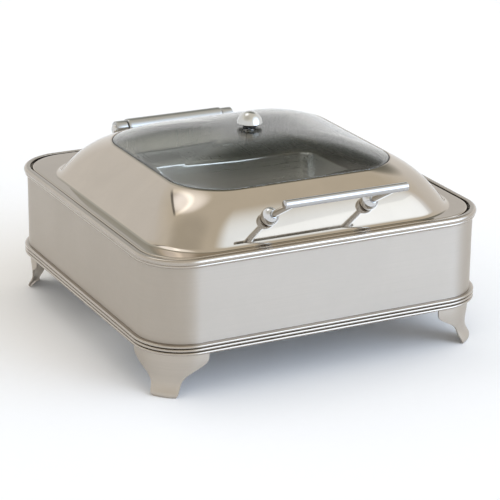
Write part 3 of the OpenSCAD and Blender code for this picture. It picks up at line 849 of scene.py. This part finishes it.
def barrel_shape():
    """The rolled barrel, with the groove where the rolled sheet closes."""
    end = [(PIN_R + 0.3, 0.0), (BARREL_R - 1.2, 0.0), (BARREL_R - 0.35, 0.35), (BARREL_R, 1.2)]
    profile = [(r, -BARREL_HALF + h) for r, h in end]
    profile += [(BARREL_R, x) for x in np.linspace(-BARREL_HALF + 4, BARREL_HALF - 4, 30)]
    profile += [(r, BARREL_HALF - h) for r, h in end[::-1]]
    verts, faces = lathe(profile, 96, loop=True)
    radius = np.hypot(verts[:, 0], verts[:, 1])
    turn = np.arctan2(verts[:, 1], verts[:, 0]) - math.radians(SEAM_ANGLE)
    away = np.angle(np.exp(1j * turn)) / SEAM_WIDTH
    groove = np.exp(-(away**2)) * (radius > BARREL_R - 2)
    verts[:, :2] *= (1 - SEAM_DEPTH * groove / np.maximum(radius, 1))[:, None]
    return placed((verts, faces), along((1, 0, 0), HINGE))


def extruded(outline, x0, x1):
    """A (y, z) outline carried from x0 to x1."""
    return skin([[(x, y, z) for y, z in outline] for x in (x0, x1)], caps=True)


def leaf_outline():
    """A plate on the flange that turns up, through a fillet, into the barrel."""
    under_barrel = HINGE.z - 11.0
    return (
        [(HINGE.y - LEAF_BACK, FLANGE_TOP), (HINGE.y + 5, FLANGE_TOP)]
        + [(HINGE.y + 5, under_barrel), (HINGE.y - 5, under_barrel)]
        + arc_points(HINGE.y - 8, FLANGE_TOP + LEAF_T + 3, 3, 0, -90, 7)
        + [(HINGE.y - LEAF_BACK, FLANGE_TOP + LEAF_T)]
    )


def ear_outline():
    """An upright ear, round about the pin."""
    return (
        [(HINGE.y - EAR_BACK, PAN_TOP), (HINGE.y - EAR_BACK, HINGE.z)]
        + arc_points(HINGE.y, HINGE.z, EAR_R, 155, -50, 35)
        + [(HINGE.y + EAR_WAIST, HINGE.z - 14), (HINGE.y + EAR_WAIST, PAN_TOP)]
    )


piece(
    "hinge_barrel_roll", barrel_shape(), "lid", hinge_look,
    ("hinge_barrel",), crease=35,
)
piece(
    "hinge_leaf_plate", extruded(leaf_outline(), -LEAF_HALF, LEAF_HALF), "lid",
    hinge_look, ("hinge_leaf",), crease=35, bevel=0.5,
)
for side, name in ((-1, "left"), (1, "right")):
    x0, x1 = sorted((side * EAR_X0, side * EAR_X1))
    piece(
        "hinge_ear_block_" + name, extruded(ear_outline(), x0, x1), "pan_unit",
        hinge_look, ("hinge_ear_" + name,), crease=35, bevel=0.9,
    )

nut_profile = [(0.1, 4.0), (1.6, 3.95), (3.4, 3.6), (5.0, 2.9), (6.2, 1.8), (6.8, 0.8)]
nut_profile += [(6.9, 0.2), (6.7, 0.0), (0.1, 0.0)]
nuts = [
    placed(lathe(nut_profile, 56), along((s, 0, 0), (s * EAR_X1, HINGE.y, HINGE.z)))
    for s in (-1, 1)
]
piece(
    "hinge_cap_nut_domes", joined(*nuts), "pan_unit", screw_look,
    ("hinge_cap_nuts",), crease=35,
)

SCREW_X, SCREW_BACK = (-44, -15, 15, 44), 13.0
screw_profile = [(0.1, 0.5), (1.3, 0.5), (1.5, 1.45), (2.3, 1.6), (3.1, 1.2), (3.5, 0.6)]
screw_profile += [(3.6, 0.05), (3.5, 0.0), (1.9, 0.0), (1.9, -3.6), (0.1, -3.6)]
screws = [
    placed(
        lathe(screw_profile, 40),
        Matrix.Translation((x, HINGE.y - SCREW_BACK, FLANGE_TOP + LEAF_T)),
    )
    for x in SCREW_X
]
piece(
    "hinge_leaf_screw_heads", joined(*screws), "lid", screw_look,
    ("hinge_leaf_screws",), crease=35,
)

# ---------- CAD nodes that keep their shape ----------

KEPT = {
    "pan_ledge": inner_look, "fuel_cradle": inner_look, "cradle_rivets": screw_look,
    "burner_left": burner_look, "burner_right": burner_look,
    "snuffer_left": inner_look, "snuffer_right": inner_look,
    "snuffer_pin_left": screw_look, "snuffer_pin_right": screw_look,
    "hinge_pin": screw_look, "vent_stem": screw_look, "vent_washers": seal_look,
    "vent_nut": screw_look, "handle_studs": screw_look, "handle_nuts": screw_look,
}
for name, look in KEPT.items():
    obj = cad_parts[name]
    obj.data.materials.clear()
    obj.data.materials.append(look)

# ---------- floor ----------

FLOOR_SPAN = 14.0
floor_look = Look("studio_floor")
floor_grain = floor_look.noise(90.0, detail=3.0)
floor_shade = floor_look.blend(floor_grain, (0.92, 0.92, 0.925), (0.935, 0.935, 0.94))
floor_look.set(Base_Color=floor_shade, Roughness=0.75)
floor_mesh = bpy.data.meshes.new("studio_floor")
corners = [(x * FLOOR_SPAN, y * FLOOR_SPAN, 0) for x, y in ((-1, -1), (1, -1), (1, 1), (-1, 1))]
floor_mesh.from_pydata(corners, [], [(0, 1, 2, 3)])
floor_mesh.materials.append(floor_look.mat)
floor = bpy.data.objects.new("studio_floor", floor_mesh)
bpy.context.scene.collection.objects.link(floor)

# ---------- room light ----------

world = bpy.data.worlds.new("studio")
bpy.context.scene.world = world
world.use_nodes = True
tree = world.node_tree
sky = tree.nodes["Background"]
direction = tree.nodes.new("ShaderNodeTexCoord").outputs["Generated"]
parts = tree.nodes.new("ShaderNodeSeparateXYZ")
tree.links.new(direction, parts.inputs[0])

# the room's colour against the sine of the angle above the horizon
STOPS = [
    (0.0, (1.0, 1.0, 1.0)),
    (0.45, (1.0, 1.0, 1.0)),
    (0.68, (0.97, 0.94, 0.88)),
    (0.86, (0.87, 0.82, 0.72)),
    (1.0, (0.86, 0.81, 0.72)),
]
ramp = tree.nodes.new("ShaderNodeValToRGB")
tree.links.new(parts.outputs["Z"], ramp.inputs[0])
stops = ramp.color_ramp.elements
stops[0].position, stops[0].color = STOPS[0][0], (*STOPS[0][1], 1)
stops[1].position, stops[1].color = STOPS[-1][0], (*STOPS[-1][1], 1)
for place, colour in STOPS[1:-1]:
    stops.new(place).color = (*colour, 1)

# Soft-edged parts of the room: direction, degrees from it where the change is full and where
# it has faded out, colour factor, and for the two sides of a flag the plane of its straight
# edge, with the heights over that plane where the edge starts and ends.
FLAG = (0.719, -0.433, 0.544)
SKY_STRENGTH = 1.06
ROOM = [
    ((0.26, 0.79, 0.55), 8, 17, (0.66, 0.68, 0.65), None),
    ((0.42, 0.85, 0.29), 6, 14, (0.78, 0.78, 0.78), None),
    ((0.47, 0.60, 0.65), 9, 20, (0.28, 0.29, 0.27), None),
    ((-0.46, -0.12, 0.88), 10, 30, (0.80, 0.80, 0.80), None),
    ((-0.22, 0.57, 0.79), 10, 17, (0.30, 0.30, 0.31), (FLAG, -0.025, -0.012)),
    ((-0.22, 0.57, 0.79), 10, 17, (3.3, 3.3, 3.25), (FLAG, 0.018, 0.032)),
    ((-0.09, 0.46, 0.88), 4, 17, (2.0, 2.1, 2.4), (FLAG, 0.018, 0.032)),
    ((0.62, -0.61, 0.49), 14, 40, (1.62, 1.88, 2.32), None),
    ((0.53, -0.83, 0.17), 12, 34, (1.85, 1.95, 2.05), None),
]


def mask(toward, start, end):
    """How far a direction lies towards a vector, faded from start to end of the cosine."""
    dot = tree.nodes.new("ShaderNodeVectorMath")
    dot.operation = "DOT_PRODUCT"
    tree.links.new(direction, dot.inputs[0])
    dot.inputs[1].default_value = Vector(toward).normalized()
    fade = tree.nodes.new("ShaderNodeMapRange")
    fade.interpolation_type = "SMOOTHSTEP"
    tree.links.new(dot.outputs["Value"], fade.inputs["Value"])
    fade.inputs["From Min"].default_value = start
    fade.inputs["From Max"].default_value = end
    return fade.outputs["Result"]


shade = ramp.outputs[0]
for toward, inner, outer, factor, edge in ROOM:
    reach = mask(toward, math.cos(math.radians(outer)), math.cos(math.radians(inner)))
    if edge:
        both = tree.nodes.new("ShaderNodeMath")
        both.operation = "MULTIPLY"
        tree.links.new(reach, both.inputs[0])
        tree.links.new(mask(*edge), both.inputs[1])
        reach = both.outputs[0]
    part = tree.nodes.new("ShaderNodeMix")
    part.data_type, part.blend_type = "RGBA", "MULTIPLY"
    tree.links.new(reach, part.inputs["Factor"])
    low, high = [socket for socket in part.inputs if socket.type == "RGBA"]
    tree.links.new(shade, low)
    high.default_value = (*factor, 1)
    shade = [socket for socket in part.outputs if socket.type == "RGBA"][0]
tree.links.new(shade, sky.inputs["Color"])
sky.inputs["Strength"].default_value = SKY_STRENGTH

LIT_POINT = Vector((0.0, STAND_Y, 0.15))


def softbox(name, direction, distance, width, height, radiance, colour):
    """A rectangular light that faces the object; radiance is how bright its face looks."""
    data = bpy.data.lights.new(name, "AREA")
    data.shape, data.size, data.size_y = "RECTANGLE", width, height
    data.energy = radiance * width * height * math.pi
    data.color = colour
    obj = bpy.data.objects.new(name, data)
    bpy.context.scene.collection.objects.link(obj)
    out = Vector(direction).normalized()
    obj.location = LIT_POINT + out * distance
    obj.rotation_mode = "QUATERNION"
    obj.rotation_quaternion = out.to_track_quat("Z", "Y")
    return obj


softbox("key", (0.66, -0.60, 0.45), 2.4, 1.9, 1.5, 0.35, (0.86, 0.92, 1.0))

# ---------- camera ----------

AZIMUTH, ELEVATION, ROLL = -27.094, 19.859, 0.700
SENSOR, LENS = 36.0, 151.60104
DISTANCE = 2.47966
AIM = Vector((-0.03654, STAND_Y - 0.08835, 0.114))

camera_data = bpy.data.cameras.new("camera")
camera_data.sensor_width, camera_data.lens = SENSOR, LENS
camera_data.clip_start, camera_data.clip_end = 0.05, 60.0
camera = bpy.data.objects.new("camera", camera_data)
bpy.context.scene.collection.objects.link(camera)
azimuth, elevation, roll = (math.radians(x) for x in (AZIMUTH, ELEVATION, ROLL))
back = Vector((
    math.sin(azimuth) * math.cos(elevation),
    -math.cos(azimuth) * math.cos(elevation),
    math.sin(elevation),
))
level_right = Vector((math.cos(azimuth), math.sin(azimuth), 0))
level_up = back.cross(level_right)
right = level_right * math.cos(roll) + level_up * math.sin(roll)
up = level_up * math.cos(roll) - level_right * math.sin(roll)
place = Matrix((right, up, back)).transposed().to_4x4()
place.translation = AIM + back * DISTANCE
camera.matrix_world = place
bpy.context.scene.camera = camera
bpy.context.scene.view_settings.view_transform = "Standard"
